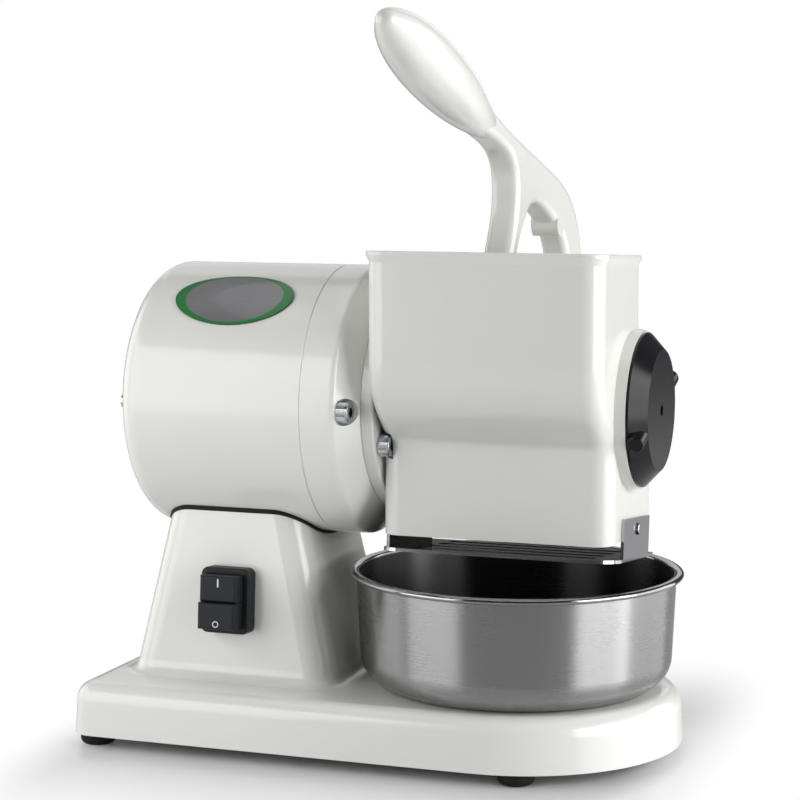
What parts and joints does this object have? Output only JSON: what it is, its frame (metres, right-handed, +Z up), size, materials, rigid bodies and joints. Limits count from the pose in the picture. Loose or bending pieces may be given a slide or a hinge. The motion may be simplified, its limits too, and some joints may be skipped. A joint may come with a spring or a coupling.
{
  "type": "electric grater",
  "caption": "Tabletop electric grater for hard cheese: enamelled casting with motor, hopper with lever presser, grating drum behind a screw-in cap, and a steel bowl under the outlet.",
  "frame": {"origin": "on the table, under the middle of the base", "axes": "+X along the motor shaft towards the drum cap, -Y towards the user, +Z up"},
  "size_m": [0.2808, 0.2779, 0.3393],
  "materials": {
    "enamel": "gloss",
    "stainless": "satin",
    "zinc": "satin",
    "steel": "ground",
    "black_rubber": "matt",
    "black_plastic": "satin",
    "cap_plastic": "gloss",
    "white_plastic": "satin",
    "grey_plastic": "matt",
    "laminations": "matt",
    "copper": "varnished",
    "aluminium": "cast",
    "bronze": "machined"
  },
  "bodies": {
    "frame": {"base_casting": "enamel", "bottom_plate": "zinc", "rubber_feet": "black_rubber", "foot_screws": "zinc", "motor_gasket": "black_rubber", "column_screws": "zinc", "motor_housing": "enamel", "motor_shield": "enamel", "shield_screws": "zinc", "rear_screws": "zinc", "rear_bearing": "steel", "front_bearing": "steel", "stator_core": "laminations", "stator_windings": "copper", "oval_plate": "aluminium", "hopper_body": "enamel", "hopper_screws": "zinc", "shaft_seal": "black_rubber", "outlet_guard": "stainless", "guard_screws": "zinc", "lever_pin": "steel", "pin_rings": "zinc", "switch_body": "black_plastic", "capacitor": "grey_plastic", "capacitor_clip": "zinc", "terminal_block": "white_plastic", "cable_gland": "black_plastic", "gland_nut": "black_plastic"},
    "rotor": {"motor_shaft": "steel", "drive_pin": "steel", "rotor_core": "laminations", "rotor_end_rings": "aluminium"},
    "drum": {"grating_drum": "stainless", "drum_hub": "aluminium", "drum_end_plate": "aluminium", "drum_bush": "bronze"},
    "cap_carrier": {"cap_axle": "steel"},
    "cap": {"drum_cap": "cap_plastic", "cap_pegs": "cap_plastic"},
    "lever": {"lever_arm": "enamel", "presser": "white_plastic", "presser_screws": "zinc"},
    "on_button": {"on_button": "black_plastic"},
    "off_button": {"off_button": "black_plastic"},
    "bowl": {"bowl": "stainless"}
  },
  "joints": [
    {"name": "rotor_spin", "type": "hinge", "parent": "frame", "child": "rotor", "pos_m": [0, 0, 0.1645], "axis": [1, 0, 0], "continuous": true},
    {"name": "cap_pull", "type": "slide", "parent": "frame", "child": "cap_carrier", "axis": [1, 0, 0], "range_m": [0, 0.12]},
    {"name": "cap_turn", "type": "hinge", "parent": "cap_carrier", "child": "cap", "pos_m": [0, 0, 0.1645], "axis": [1, 0, 0], "range_deg": [0, 45]},
    {"name": "drum_pull", "type": "slide", "parent": "rotor", "child": "drum", "axis": [1, 0, 0], "range_m": [0, 0.12]},
    {"name": "lever_lift", "type": "hinge", "parent": "frame", "child": "lever", "pos_m": [0.0621, 0.066, 0.206], "axis": [1, 0, 0], "range_deg": [-85, 0]},
    {"name": "on_press", "type": "slide", "parent": "frame", "child": "on_button", "axis": [0, 0.9978, -0.0669], "range_m": [0, 0.003], "stiffness_N_per_m": 300},
    {"name": "off_press", "type": "slide", "parent": "frame", "child": "off_button", "axis": [0, 0.9978, -0.0669], "range_m": [0, 0.003], "stiffness_N_per_m": 300},
    {"name": "bowl_out", "type": "slide", "parent": "frame", "child": "bowl", "axis": [0, -1, 0], "range_m": [0, 0.25]}
  ],
  "couplings": [
    {"joint": "drum_pull", "follows": "cap_pull", "ratio": 1}
  ]
}
